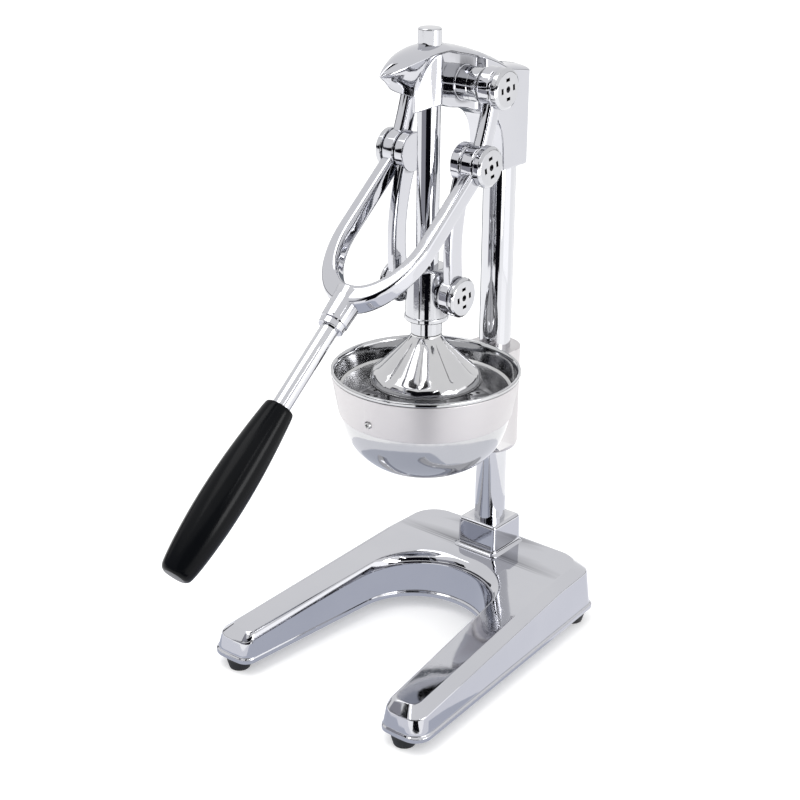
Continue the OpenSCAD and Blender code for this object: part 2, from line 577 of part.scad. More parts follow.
module bowl_screw() color(steel) translate([0, 0, screw_z]) rotate([90, 0, 0]) {
    translate([0, 0, 57]) cylinder(r = 1.5, h = 5);
    difference() {
        translate([0, 0, 61.3]) cylinder(r1 = 2.6, r2 = 2, h = 1.4);
        translate([-0.35, -1.4, 62.2]) cube([0.7, 2.8, 1]);
        translate([-1.4, -0.35, 62.2]) cube([2.8, 0.7, 1]);
    }
}

base();
feet();
foot_screws();
column();
column_bolt();
column_washer();
head_casting();
head_set_screws();
pivot_axle();
axle_end_caps();
spacer_bushes();
thrust_washers();
lever_yoke();
lever_tube();
grip();
upper_pins();
link_right();
link_left();
lower_pins();
crosshead();
crosshead_screw();
plunger_rod();
cone_collar();
press_cone();
bowl_bracket();
bracket_screws();
bowl_screw();
bowl();
strainer();
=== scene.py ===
import bpy, bmesh, math
from math import sin, cos, pi, radians
from bisect import bisect_right
from mathutils import Vector, Matrix


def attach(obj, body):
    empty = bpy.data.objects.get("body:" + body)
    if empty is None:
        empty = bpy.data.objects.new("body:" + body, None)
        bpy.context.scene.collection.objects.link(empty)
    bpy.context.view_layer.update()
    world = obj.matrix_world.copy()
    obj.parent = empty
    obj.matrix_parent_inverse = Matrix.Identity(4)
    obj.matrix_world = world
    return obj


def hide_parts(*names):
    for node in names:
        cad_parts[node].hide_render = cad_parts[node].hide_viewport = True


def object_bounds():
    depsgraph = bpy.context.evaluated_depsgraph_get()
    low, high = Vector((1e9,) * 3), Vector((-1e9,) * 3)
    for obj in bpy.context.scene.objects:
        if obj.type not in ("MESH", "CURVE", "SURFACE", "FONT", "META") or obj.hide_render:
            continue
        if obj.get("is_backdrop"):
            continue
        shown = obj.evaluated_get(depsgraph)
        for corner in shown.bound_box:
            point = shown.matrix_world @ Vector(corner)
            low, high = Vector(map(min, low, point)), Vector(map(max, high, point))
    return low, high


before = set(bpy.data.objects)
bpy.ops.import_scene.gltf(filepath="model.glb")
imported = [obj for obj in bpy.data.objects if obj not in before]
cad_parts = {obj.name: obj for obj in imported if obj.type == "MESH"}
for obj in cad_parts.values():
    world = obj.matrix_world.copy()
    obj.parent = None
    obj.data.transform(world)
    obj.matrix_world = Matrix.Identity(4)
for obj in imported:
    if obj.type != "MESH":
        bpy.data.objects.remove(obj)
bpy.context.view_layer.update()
mm = 0.001

# shapes below are (points, faces) in millimetres until newPiece makes a mesh of them


def mix(a, b, t):
    return a + (b - a) * t


def smoothTable(rows):
    # value at x from rows of [x, value], a smooth curve that never swings past the rows
    xs, ys = [r[0] for r in rows], [r[1] for r in rows]
    gaps = [b - a for a, b in zip(xs, xs[1:])]
    rise = [(b - a) / g for a, b, g in zip(ys, ys[1:], gaps)]
    slope = [rise[0]]
    for i in range(1, len(rise)):
        if rise[i - 1] * rise[i] <= 0:
            slope.append(0.0)
        else:
            a, b = 2 * gaps[i] + gaps[i - 1], gaps[i] + 2 * gaps[i - 1]
            slope.append((a + b) / (a / rise[i - 1] + b / rise[i]))
    slope.append(rise[-1])

    def value(x):
        x = min(max(x, xs[0]), xs[-1])
        i = min(bisect_right(xs, x) - 1, len(gaps) - 1)
        g = gaps[i]
        t = (x - xs[i]) / g
        return ((2 * t**3 - 3 * t**2 + 1) * ys[i] + (t**3 - 2 * t**2 + t) * g * slope[i]
                + (3 * t**2 - 2 * t**3) * ys[i + 1] + (t**3 - t**2) * g * slope[i + 1])
    return value


def bend(points, steps):
    # smooth curve through the points
    out = []
    last = len(points) - 1
    for i in range(last):
        a, b, c, d = (Vector(points[max(i - 1, 0)]), Vector(points[i]), Vector(points[i + 1]),
                      Vector(points[min(i + 2, last)]))
        for k in range(steps):
            t = k / steps
            p = 0.5 * (2 * b + (c - a) * t + (2 * a - 5 * b + 4 * c - d) * t * t
                       + (3 * b - a - 3 * c + d) * t**3)
            out.append(tuple(p))
    return out + [tuple(points[last])]


def corner(a, b, c, radius, steps):
    # arc that rounds corner b on the way from a to c
    a, b, c = Vector(a[:2]), Vector(b[:2]), Vector(c[:2])
    u, w = (a - b).normalized(), (c - b).normalized()
    half = math.acos(max(-1.0, min(1.0, u.dot(w)))) / 2
    middle = b + (u + w).normalized() * radius / sin(half)
    s = b + u * radius / math.tan(half) - middle
    e = b + w * radius / math.tan(half) - middle
    turn = (1 if s.x * e.y - s.y * e.x > 0 else -1) * (pi - 2 * half)
    out = []
    for i in range(steps + 1):
        g = turn * i / steps
        out.append((middle.x + s.x * cos(g) - s.y * sin(g), middle.y + s.x * sin(g) + s.y * cos(g)))
    return out


def rounded(points, steps=5):
    # open line of (x, y) or (x, y, radius)
    out = [tuple(points[0][:2])]
    for i in range(1, len(points) - 1):
        if len(points[i]) > 2 and points[i][2] > 0:
            out += corner(points[i - 1], points[i], points[i + 1], points[i][2], steps)
        else:
            out.append(tuple(points[i][:2]))
    return out + [tuple(points[-1][:2])]


def moved(line, w):
    # line of (x, y) moved sideways by w
    out = []
    for i, p in enumerate(line):
        a, b = Vector(line[max(i - 1, 0)]), Vector(line[min(i + 1, len(line) - 1)])
        d = (b - a).normalized()
        out.append((p[0] - d.y * w, p[1] + d.x * w))
    return out


def turned(profile, count=96, ring=False):
    # round shape about Z from (radius, height); ring closes the profile on itself
    points, rows, faces = [], [], []
    for r, h in profile:
        if r < 1e-4:
            rows.append([len(points)])
            points.append((0.0, 0.0, h))
        else:
            rows.append(list(range(len(points), len(points) + count)))
            points += [(r * cos(2 * pi * i / count), r * sin(2 * pi * i / count), h) for i in range(count)]
    for a, b in list(zip(rows, rows[1:])) + ([(rows[-1], rows[0])] if ring else []):
        for i in range(count):
            j = (i + 1) % count
            if len(a) > 1 and len(b) > 1:
                faces.append((a[i], a[j], b[j], b[i]))
            elif len(b) > 1:
                faces.append((a[0], b[j], b[i]))
            elif len(a) > 1:
                faces.append((a[i], a[j], b[0]))
    return points, faces


def loft(rows, ring=False):
    # skin over closed rows with the same number of points, flat ends unless the rows close a ring
    n = len(rows[0])
    points = [tuple(p) for row in rows for p in row]
    faces = []
    for r in range(len(rows) if ring else len(rows) - 1):
        s = (r + 1) % len(rows)
        faces += [(r * n + i, r * n + (i + 1) % n, s * n + (i + 1) % n, s * n + i) for i in range(n)]
    if not ring:
        faces += [tuple(reversed(range(n))), tuple(range((len(rows) - 1) * n, len(rows) * n))]
    return points, faces


def block(low, high):
    x0, y0, z0 = low
    x1, y1, z1 = high
    return loft([[(x0, y0, z), (x1, y0, z), (x1, y1, z), (x0, y1, z)] for z in (z0, z1)])


def cylinder(radius, low, high, count=96):
    return turned([(0, low), (radius, low), (radius, high), (0, high)], count)


def placed(shape, change):
    return [change(*p) for p in shape[0]], shape[1]


def at(shape, x, y, z):
    return placed(shape, lambda a, b, c: (a + x, b + y, c + z))


def alongX(shape, y, z):
    # a turned shape laid on the X axis
    return placed(shape, lambda a, b, c: (c, a + y, b + z))


def alongY(shape, x, z):
    return placed(shape, lambda a, b, c: (x + a, c, z + b))


def mirrored(shape):
    return [(-x, y, z) for x, y, z in shape[0]], [tuple(reversed(f)) for f in shape[1]]


def joined(*shapes):
    points, faces = [], []
    for p, f in shapes:
        start = len(points)
        points += p
        faces += [tuple(i + start for i in face) for face in f]
    return points, faces


def pair(shape):
    return joined(shape, mirrored(shape))


def meshFrom(shape, name, scale=1.0):
    mesh = bpy.data.meshes.new(name)
    mesh.from_pydata([(x * scale, y * scale, z * scale) for x, y, z in shape[0]], [], shape[1])
    bm = bmesh.new()
    bm.from_mesh(mesh)
    bmesh.ops.remove_doubles(bm, verts=bm.verts, dist=2e-3 * scale)
    bmesh.ops.dissolve_degenerate(bm, edges=bm.edges, dist=1e-3 * scale)
    bmesh.ops.recalc_face_normals(bm, faces=bm.faces)
    bm.to_mesh(mesh)
    bm.free()
    return mesh


def worked(shape, *steps):
    # joins and cuts, each step is ("UNION" or "DIFFERENCE", shape)
    scrap = []
    def loose(s):
        o = bpy.data.objects.new("scrap", meshFrom(s, "scrap"))
        bpy.context.scene.collection.objects.link(o)
        scrap.append(o)
        return o
    body = loose(shape)
    for how, tool in steps:
        cut = body.modifiers.new(how, "BOOLEAN")
        cut.operation, cut.object, cut.solver = how, loose(tool), "EXACT"
    done = bpy.data.meshes.new_from_object(body.evaluated_get(bpy.context.evaluated_depsgraph_get()))
    result = [tuple(v.co) for v in done.vertices], [tuple(p.vertices) for p in done.polygons]
    for o in scrap:
        bpy.data.meshes.remove(o.data)
    bpy.data.meshes.remove(done)
    return result


def newPiece(name, shape, body, node, paint, sharp=32):
    mesh = meshFrom(shape, name, mm)
    mesh.shade_smooth()
    mesh.set_sharp_from_angle(angle=radians(sharp))
    mesh.materials.append(paint)
    piece = bpy.data.objects.new(name, mesh)
    bpy.context.scene.collection.objects.link(piece)
    even = piece.modifiers.new("even shading", "WEIGHTED_NORMAL")
    even.keep_sharp = True
    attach(piece, body)
    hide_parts(node)
    return piece


# finishes

def startPaint(name):
    paint = bpy.data.materials.new(name)
    paint.use_nodes = True
    return paint, paint.node_tree.nodes, paint.node_tree.links, paint.node_tree.nodes["Principled BSDF"]


def noise(nodes, links, source, stretch, scale, detail, rough=0.55):
    place = nodes.new("ShaderNodeMapping")
    place.inputs["Scale"].default_value = stretch
    links.new(source, place.inputs["Vector"])
    n = nodes.new("ShaderNodeTexNoise")
    n.inputs["Scale"].default_value = scale
    n.inputs["Detail"].default_value = detail
    n.inputs["Roughness"].default_value = rough
    links.new(place.outputs["Vector"], n.inputs["Vector"])
    return n.outputs["Fac"]


def spread(nodes, links, source, fromLow, fromHigh, low, high):
    r = nodes.new("ShaderNodeMapRange")
    r.inputs["From Min"].default_value, r.inputs["From Max"].default_value = fromLow, fromHigh
    r.inputs["To Min"].default_value, r.inputs["To Max"].default_value = low, high
    links.new(source, r.inputs["Value"])
    return r.outputs["Result"]


def blended(nodes, links, amount, a, b):
    m = nodes.new("ShaderNodeMix")
    m.data_type = "RGBA"
    links.new(amount, m.inputs["Factor"])
    for socket, colour in ((m.inputs[6], a), (m.inputs[7], b)):
        if isinstance(colour, tuple):
            socket.default_value = (*colour, 1)
        else:
            links.new(colour, socket)
    return m.outputs[2]


def metal(name, look):
    paint, nodes, links, shader = startPaint(name)
    place = nodes.new("ShaderNodeTexCoord").outputs["Object"]
    point = nodes.new("ShaderNodeNewGeometry").outputs["Pointiness"]
    edge = spread(nodes, links, point, 0.53, 0.6, 0, 1)
    clouds = spread(nodes, links, noise(nodes, links, place, (1, 1, 1), look["clouds"], 4), 0.35, 0.65, 0, 1)
    tone = blended(nodes, links, clouds, look["colour"], look["shade"])
    # painted shade in the creases (base colour darkened towards near-black where pointiness is low), polish on
    # the edges
    crease = spread(nodes, links, point, 0.488, 0.43, 0, 1)
    # the crease mask mixes painted crease shade (0.07, 0.07, 0.08) into the base colour
    tone = blended(nodes, links, crease, tone, (0.07, 0.07, 0.08))
    links.new(blended(nodes, links, edge, tone, look["edge"]), shader.inputs["Base Color"])
    streaks = noise(nodes, links, place, look["grain"], look["grainScale"], 6, 0.65)
    dull = spread(nodes, links, streaks, 0.3, 0.75, look["rough"][0], look["rough"][1])
    worn = nodes.new("ShaderNodeMath")
    worn.operation = "MULTIPLY_ADD"
    links.new(edge, worn.inputs[0])
    worn.inputs[1].default_value = look["wear"]
    links.new(dull, worn.inputs[2])
    links.new(worn.outputs[0], shader.inputs["Roughness"])
    shader.inputs["Metallic"].default_value = 1
    waves = nodes.new("ShaderNodeBump")
    waves.inputs["Strength"].default_value = look["waves"][0]
    waves.inputs["Distance"].default_value = look["waves"][1]
    links.new(noise(nodes, links, place, (1, 1, 1), look["waves"][2], 1.5), waves.inputs["Height"])
    fine = nodes.new("ShaderNodeBump")
    fine.inputs["Strength"].default_value = look["fine"][0]
    fine.inputs["Distance"].default_value = look["fine"][1]
    links.new(streaks, fine.inputs["Height"])
    links.new(waves.outputs["Normal"], fine.inputs["Normal"])
    links.new(fine.outputs["Normal"], shader.inputs["Normal"])
    return paint


def moulded(name, look):
    paint, nodes, links, shader = startPaint(name)
    place = nodes.new("ShaderNodeTexCoord").outputs["Object"]
    edge = spread(nodes, links, nodes.new("ShaderNodeNewGeometry").outputs["Pointiness"], 0.52, 0.6, 0, 1)
    clouds = spread(nodes, links, noise(nodes, links, place, (1, 1, 1), look["clouds"], 5), 0.35, 0.68, 0, 1)
    tone = blended(nodes, links, clouds, look["colour"], look["shade"])
    links.new(blended(nodes, links, edge, tone, look["edge"]), shader.inputs["Base Color"])
    grain = noise(nodes, links, place, (1, 1, 1), look["grainScale"], 4, 0.6)
    dull = spread(nodes, links, grain, 0.3, 0.7, look["rough"][0], look["rough"][1])
    links.new(dull, shader.inputs["Roughness"])
    shader.inputs["Specular IOR Level"].default_value = look["gloss"]
    fine = nodes.new("ShaderNodeBump")
    fine.inputs["Strength"].default_value = look["fine"][0]
    fine.inputs["Distance"].default_value = look["fine"][1]
    links.new(grain, fine.inputs["Height"])
    links.new(fine.outputs["Normal"], shader.inputs["Normal"])
    return paint


castChrome = metal("castChrome", {
    "colour": (0.575, 0.578, 0.61), "shade": (0.545, 0.55, 0.585), "edge": (0.68, 0.68, 0.7),
    "clouds": 14, "grain": (1, 1, 1), "grainScale": 420, "rough": (0.03, 0.085), "wear": 0.03,
    "waves": (0.35, 0.0012, 22), "fine": (0.06, 0.00008)})
barChrome = metal("barChrome", {
    "colour": (0.6, 0.605, 0.63), "shade": (0.575, 0.58, 0.61), "edge": (0.66, 0.665, 0.68),
    "clouds": 9, "grain": (1, 1, 0.06), "grainScale": 500, "rough": (0.025, 0.07), "wear": 0.02,
    "waves": (0.2, 0.0006, 16), "fine": (0.05, 0.00005)})
turnedChrome = metal("turnedChrome", {
    "colour": (0.56, 0.565, 0.585), "shade": (0.53, 0.535, 0.56), "edge": (0.63, 0.63, 0.64),
    "clouds": 40, "grain": (1, 1, 1), "grainScale": 700, "rough": (0.03, 0.1), "wear": 0.04,
    "waves": (0.25, 0.0005, 60), "fine": (0.08, 0.00006)})
coneChrome = metal("coneChrome", {
    "colour": (0.6, 0.6, 0.61), "shade": (0.56, 0.56, 0.575), "edge": (0.66, 0.66, 0.66),
    "clouds": 30, "grain": (1, 1, 1), "grainScale": 520, "rough": (0.06, 0.14), "wear": 0.03,
    "waves": (0.3, 0.0009, 40), "fine": (0.08, 0.00008)})
bowlChrome = metal("bowlChrome", {
    "colour": (0.56, 0.56, 0.57), "shade": (0.52, 0.525, 0.54), "edge": (0.62, 0.62, 0.63),
    "clouds": 16, "grain": (1, 1, 8), "grainScale": 260, "rough": (0.04, 0.11), "wear": 0.03,
    "waves": (0.25, 0.001, 24), "fine": (0.07, 0.00007)})
satinSteel = metal("satinSteel", {
    "colour": (0.6, 0.583, 0.592), "shade": (0.565, 0.548, 0.56), "edge": (0.68, 0.672, 0.68),
    "clouds": 12, "grain": (1, 1, 14), "grainScale": 240, "rough": (0.3, 0.46), "wear": -0.05,
    "waves": (0.15, 0.0006, 20), "fine": (0.2, 0.00008)})
strainerSteel = metal("strainerSteel", {
    "colour": (0.5, 0.5, 0.51), "shade": (0.44, 0.44, 0.455), "edge": (0.58, 0.58, 0.58),
    "clouds": 25, "grain": (1, 1, 9), "grainScale": 300, "rough": (0.16, 0.3), "wear": 0.02,
    "waves": (0.2, 0.0006, 40), "fine": (0.15, 0.00008)})
screwSteel = metal("screwSteel", {
    "colour": (0.42, 0.42, 0.43), "shade": (0.33, 0.33, 0.34), "edge": (0.55, 0.55, 0.55),
    "clouds": 120, "grain": (1, 1, 1), "grainScale": 900, "rough": (0.18, 0.36), "wear": 0.03,
    "waves": (0.2, 0.0003, 90), "fine": (0.2, 0.00006)})
gripPlastic = moulded("gripPlastic", {
    "colour": (0.0025, 0.003, 0.004), "shade": (0.004, 0.0045, 0.0055), "edge": (0.01, 0.01, 0.011),
    "clouds": 30, "grainScale": 1400, "rough": (0.16, 0.24), "gloss": 0.08, "fine": (0.08, 0.00004)})
footRubber = moulded("footRubber", {
    "colour": (0.012, 0.012, 0.013), "shade": (0.02, 0.02, 0.021), "edge": (0.035, 0.035, 0.035),
    "clouds": 60, "grainScale": 1800, "rough": (0.5, 0.68), "gloss": 0.35, "fine": (0.2, 0.00008)})
print("finishes made")

# base casting

columnBore, axleBore, pinBore, grubBore = 11.35, 6.03, 5.05, 2.55     # radii of the drilled holes

baseShape = {"underside": 9.3, "top": 45.8, "fall": 0.0855, "wall": 5.0, "bossHalf": 17.0, "bossCorner": 2.8,
             "boltHole": 5.6, "washerRoom": 14, "footHole": 2.1, "columnY": 80.3,
             "feet": [(74.7, -114), (-74.7, -114), (71, 90), (-71, 90)]}
columnY = baseShape["columnY"]

# (inset, from, height) up the outer side and over the inner shoulder; "top" heights hang from the top face
outerRows = [(0.045, "low", 0), (0.013, "low", 0.15), (0, "low", 0.5), (0, "low", 2.5), (0.006, "low", 2.95),
             (0.022, "low", 3.25), (0.1, "low", 3.9), (0.124, "low", 4.25), (0.135, "low", 4.9),
             (0.15, "low", 6.3), (0.322, "top", 7), (0.328, "top", 6.65), (0.338, "top", 6.33),
             (0.352, "top", 6.08),
             (0.372, "top", 5.85), (0.955, "top", 0.42), (0.972, "top", 0.24), (0.99, "top", 0.1),
             (1.012, "top", 0.025), (1.04, "top", 0), (1.12, "top", 0)]
innerRows = outerRows[:10] + [(0.28, "top", 9), (0.31, "top", 7.4), (0.345, "top", 6.2), (0.4, "top", 4.9),
                              (0.46, "top", 3.9), (0.55, "top", 2.7), (0.65, "top", 1.75), (0.76, "top", 1),
                              (0.88, "top", 0.4), (1, "top", 0.08), (1.12, "top", 0)]


def stepped(line, steps):
    # the same line with each straight part between arcs cut in steps
    out = []
    for i, (arc, after) in enumerate(line):
        out += arc
        if after is not None:
            a, b = Vector(arc[-1]), Vector(after)
            out += [tuple(a + (b - a) * k / steps) for k in range(1, steps)]
    return out


def baseHalf(outer, t, w=0.0):
    # right half of the outline from the front of the leg to the back, t = 0 at the flange and 1 at the top
    if outer:
        p = [(75.5 - 1.8 * t, -124 + 10.3 * t + w), (95.2 - 11.9 * t - w, -123.3 + 10.3 * t + w),
             (81.2 - 10.2 * t - w, 104.8 - 4 * t - w), (0, 105.6 - 3.6 * t - w)]
        r = (12 - 6 * t - min(w, 2), 8 + 12 * t)
    else:
        p = [(75.5 - 1.8 * t, -124 + 10.3 * t + w), (59.1 + 5.2 * t + w, -123.3 + 10.3 * t + w),
             (46.15 + 1.85 * t + w, 40 + 11 * t + w), (0, 40 + 11 * t + w)]
        r = (9 - 4 * t - min(w, 2), 49.5 - 4.5 * t + w / 2)
    first = corner(p[0], p[1], p[2], r[0], 12)
    second = corner(p[1], p[2], p[3], r[1], 28)
    return stepped([([p[0]], first[0]), (first, second[0]), (second, p[3]), ([p[3]], None)], 6)


def topHeight(y):
    # flat round the column, then a slight fall to the front, with a soft change between
    d = 60 - y
    soft = 0 if d < -10 else (d + 10) ** 2 / 40 if d < 10 else d
    return baseShape["top"] - baseShape["fall"] * soft


def baseLoop(t, w=0.0):
    o = baseHalf(True, t, w)
    i = baseHalf(False, t, w)
    o = o + [(-x, y) for x, y in reversed(o[:-1])]
    i = i + [(-x, y) for x, y in reversed(i[:-1])]
    return o + list(reversed(i))[1:-1]


def rowHeight(kind, h, y):
    return baseShape["underside"] + h if kind == "low" else topHeight(y) - h


def baseRow(outerRow, innerRow):
    a, b = baseLoop(outerRow[0]), baseLoop(innerRow[0])
    n = len(a)
    half = n // 2          # points of the outer side
    row = []
    for k in range(n):
        # 0 on the outer side, 1 on the inner shoulder, changing over round the front corner
        inside = 0.0 if k <= half else min(1.0, (k - half) / 16, (n - k) / 16)
        x, y = mix(a[k][0], b[k][0], inside), mix(a[k][1], b[k][1], inside)
        row.append((x, y, mix(rowHeight(*outerRow[1:], y), rowHeight(*innerRow[1:], y), inside)))
    return row


baseSolid = loft([baseRow(a, b) for a, b in zip(outerRows, innerRows)])


def stripped(shape, levels):
    # the top face cut in strips where its slope changes, so that it stays true
    bm = bmesh.new()
    corners = [bm.verts.new(p) for p in shape[0]]
    for f in shape[1]:
        bm.faces.new([corners[i] for i in f])
    for level in levels:
        tops = [f for f in bm.faces if len(f.verts) > 4 and f.calc_center_median().z > 25]
        parts = {e for f in tops for e in f.edges} | {v for f in tops for v in f.verts}
        bmesh.ops.bisect_plane(bm, geom=tops + list(parts), plane_co=(0, level, 0), plane_no=(0, 1, 0),
                               dist=1e-4)
    for v in bm.verts:
        if v.co.z > topHeight(v.co.y) - 0.02:
            v.co.z = topHeight(v.co.y)
    bm.verts.index_update()
    done = [tuple(v.co) for v in bm.verts], [tuple(v.index for v in f.verts) for f in bm.faces]
    bm.free()
    return done


baseSolid = stripped(baseSolid, [60 + 2.5 * k for k in range(-4, 5)])

hollowRows = [(0, "low", -1), (0.13, "low", 3), (0.33, "top", 10), (1, "top", 5)]


def hollowRow(t, kind, h):
    return [(x, y, rowHeight(kind, h, y)) for x, y in baseLoop(t, baseShape["wall"])]


hollow = worked(loft([hollowRow(*r) for r in hollowRows]),
                ("DIFFERENCE", block((-24, 55, 0), (24, 115, 80))),
                *[("DIFFERENCE", at(cylinder(8, 0, 60, 48), x, y, 0)) for x, y in baseShape["feet"]])

# square boss of the column with a flared foot
bossRows = [(43, 3.2), (45.6, 3.1), (46.1, 2.2), (46.7, 1.35), (47.5, 0.7), (48.5, 0.25), (49.7, 0.05), (51, 0),
            (65.8, -0.35), (66.6, -0.5), (67.3, -0.85), (67.8, -1.3), (68.15, -1.9), (68.3, -2.6)]


def squareRow(half, r, z, steps=7):
    out = []
    for k, (sx, sy) in enumerate(((1, 1), (-1, 1), (-1, -1), (1, -1))):
        for i in range(steps + 1):
            g = pi / 2 * (k + i / steps)
            out.append((sx * (half - r) + r * cos(g), columnY + sy * (half - r) + r * sin(g), z))
    return out


boss = loft([squareRow(baseShape["bossHalf"] + more, max(baseShape["bossCorner"] + more, 0.6), z)
             for z, more in bossRows])
baseSolid = worked(baseSolid, ("UNION", boss), ("DIFFERENCE", hollow),
                   ("DIFFERENCE", at(cylinder(columnBore, 52, 92), 0, columnY, 0)),
                   ("DIFFERENCE", at(cylinder(baseShape["boltHole"], 20, 60, 64), 0, columnY, 0)),
                   ("DIFFERENCE", at(cylinder(baseShape["washerRoom"], 0, 27, 64), 0, columnY, 0)),
                   *[("DIFFERENCE", at(cylinder(baseShape["footHole"], 0, 23.3, 32), x, y, 0))
                     for x, y in baseShape["feet"]])
newPiece("base_casting", baseSolid, "frame", "base", castChrome)
print("base made")

footShape = {"radius": 9.3, "height": 9.28, "recess": 5.4}
r = footShape["radius"]
foot = turned(rounded([(footShape["recess"], 0), (r - 2, 0, 0.9), (r - 0.3, 6.2, 4), (r, footShape["height"]),
                       (2.2, footShape["height"]), (2.2, 4.6), (footShape["recess"], 4.6)], 5), 64, ring=True)
newPiece("rubber_feet", joined(*[at(foot, x, y, 0) for x, y in baseShape["feet"]]), "frame", "feet", footRubber,
         40)

# column

columnShape = {"radius": 11.3, "low": 52.1, "high": 384, "grubHeights": (346, 358)}
r, low, high = columnShape["radius"], columnShape["low"], columnShape["high"]
column = at(turned([(0, 88), (5.05, 88), (5.05, low), (r, low)]
                   + [(r, mix(low, high - 1, k / 12)) for k in range(1, 13)]
                   + [(r - 0.3, high - 0.3), (r - 1, high), (0, high)], 128), 0, columnY, 0)
column = worked(column, *[("DIFFERENCE", alongY(cylinder(grubBore, columnY + r - 2.5, columnY + 20, 32), 0, z))
                          for z in columnShape["grubHeights"]])
newPiece("column_bar", column, "frame", "column", barChrome)
print("column made")

# head casting: beak, arm and the block that clamps the column

# (y, z) of the lever's pivot and of the upper and lower link pivots
pivotA, pivotB, pivotC = (26.0, 404.2), (10.2, 356.5), (0.0, 268.5)
rodRadius, rodBore = 7.6, 7.65
headShape = {
    "top": [[-49.5, 418.9], [-46, 421.8], [-39.8, 425.4], [-30, 429], [-20, 431], [-12, 432], [-4, 432.4],
            [4, 432.2], [15.8, 429.9], [34.3, 424.9], [54, 417.4], [69.5, 410.4], [84, 407.4], [93.1, 405.6]],
    "creaseWidth": [[-49.5, 0.5], [-46, 2.6], [-40, 5.4], [-35, 7.2], [-28, 9.4], [-20, 11], [-12, 11.8],
                    [-4, 12], [12, 11.4], [24, 11.3], [37, 11.5], [43.5, 14.3], [93.1, 14.3]],
    "crease": [[-49.5, 418.4], [-46, 419], [-37, 421.2], [-28, 423.8], [-17, 426.2], [-5, 427.6], [6, 427.4],
               [15.8, 425], [34.3, 420.2], [54, 413.2], [69.5, 406.6], [84, 403.8], [93.1, 402]],
    "sideWidth": [[-49.5, 0.25], [-40, 0.7], [-16.2, 0.9], [-15.3, 1.3], [-7.5, 5.9], [0.2, 10.2], [4, 9.9],
                  [12, 9.1], [24, 8.6], [37.5, 8.8], [43.5, 14.1], [93.1, 14.1]],
    "flare": [[-49.5, 418.1], [-45, 415.4], [-39.7, 410.4], [-30.8, 406.2], [-20, 402.6], [-15.3, 401.2],
              [-9.6, 415], [-3.5, 424.6], [0.2, 426.2], [6, 426.2], [15.8, 424], [34.3, 419.4], [54, 412.6],
              [69.5, 406], [84, 403.2], [93.1, 401.4]],
    "low": [[-49.5, 417.9], [-45, 414.6], [-39.7, 409.4], [-30.8, 405.2], [-20, 401.4], [-15.8, 400],
            [-15.3, 390], [0, 393.4], [12, 390], [30, 386.4], [38, 383.6], [45, 381.6], [52, 378.6],
            [57, 374.4], [60.5, 369], [62.8, 362], [64.4, 352], [65.2, 338], [93.1, 338]]}
headLine = {name: smoothTable(rows) for name, rows in headShape.items()}


def headRow(y, pull=0.0):
    w, c = headLine["sideWidth"](y) - pull, headLine["creaseWidth"](y) - pull
    z0, z1 = headLine["low"](y), headLine["flare"](y)
    z2, z3 = headLine["crease"](y) - pull, headLine["top"](y) - pull
    r = min(1.5, w * 0.6, (z1 - z0) * 0.4)
    right = [(w - r + r * sin(pi / 2 * k / 4), z0 + r - r * cos(pi / 2 * k / 4)) for k in range(5)]
    right += [(w, mix(z0 + r, z1, k / 4)) for k in range(1, 4)]
    right += [(w + (c - w) * (k / 9) ** 2, mix(z1, z2, k / 9)) for k in range(10)]
    right += [(c * cos(radians(g)), z2 + (z3 - z2) * sin(radians(g)))
              for g in (4, 10, 18, 27, 36, 45, 54, 63, 72, 81)]
    return ([(x, y, z) for x, z in right] + [(0, y, z3)] + [(-x, y, z) for x, z in reversed(right)])


def steps(a, b, gap):
    n = max(1, round((b - a) / gap))
    return [mix(a, b, k / n) for k in range(n)]


headRows = [headRow(y) for y in steps(-49.5, -15.8, 1.2) + [-15.8] + steps(-15.3, 8, 0.8) + steps(8, 54, 1.5)
            + steps(54, 66, 0.6) + steps(66, 91.1, 3.2)]
headRows += [headRow(91.1 + 2 * sin(g), 2 * (1 - cos(g))) for g in (0, 0.3, 0.6, 0.9, 1.2, 1.4, pi / 2)]
head = loft(headRows)
barrel = alongX(cylinder(11.3, -8.6, 8.6), *pivotA)
barrelRing = alongX(turned(rounded([(0, 5.2), (12, 5.2, 0.7), (12, 9.6, 0.7), (0, 9.6)], 4)), *pivotA)
head = worked(head, ("UNION", barrel), ("UNION", pair(barrelRing)),
              ("DIFFERENCE", cylinder(rodBore, 370, 460)),
              ("DIFFERENCE", at(cylinder(columnBore, 330, 384.2), 0, columnY, 0)),
              ("DIFFERENCE", alongX(cylinder(axleBore, -40, 40), *pivotA)),
              ("DIFFERENCE", pair(alongX(cylinder(12.3, 9.6, 30), *pivotA))),
              *[("DIFFERENCE", alongY(cylinder(grubBore, columnY + 5, columnY + 25, 32), 0, z))
                for z in columnShape["grubHeights"]])
newPiece("head_arm", head, "frame", "head_casting", castChrome)
print("head made")

# lever pivot: bushes, washers and end caps

capShape = {"radius": 13.5, "edge": 0.6, "markRing": 6.2, "markWide": 2.2, "markLong": 3.8, "markDeep": 1.7,
            "dimple": 2.1}


def discHead(x0, x1, face, turn):
    # disc for the right side with sunk spanner marks and a centre mark
    r = capShape["radius"]
    disc = alongX(turned(rounded([(0, x0), (r, x0, capShape["edge"]), (r, x1 - 1.4, 0.8), (face, x1, 1.2),
                                  (0, x1)], 4), 128), 0, 0)
    marks = []
    for k in range(4):
        g = radians(turn + 90 * k)
        wide, long = capShape["markWide"] / 2, capShape["markLong"] / 2
        mark = block((x1 - capShape["markDeep"], capShape["markRing"] - wide, -long),
                     (x1 + 1, capShape["markRing"] + wide, long))
        marks.append(placed(mark, lambda x, y, z, g=g: (x, y * cos(g) - z * sin(g), y * sin(g) + z * cos(g))))
    return worked(disc, ("DIFFERENCE", joined(*marks)),
                  ("DIFFERENCE", alongX(cylinder(capShape["dimple"], x1 - 1.5, x1 + 1, 32), 0, 0)))


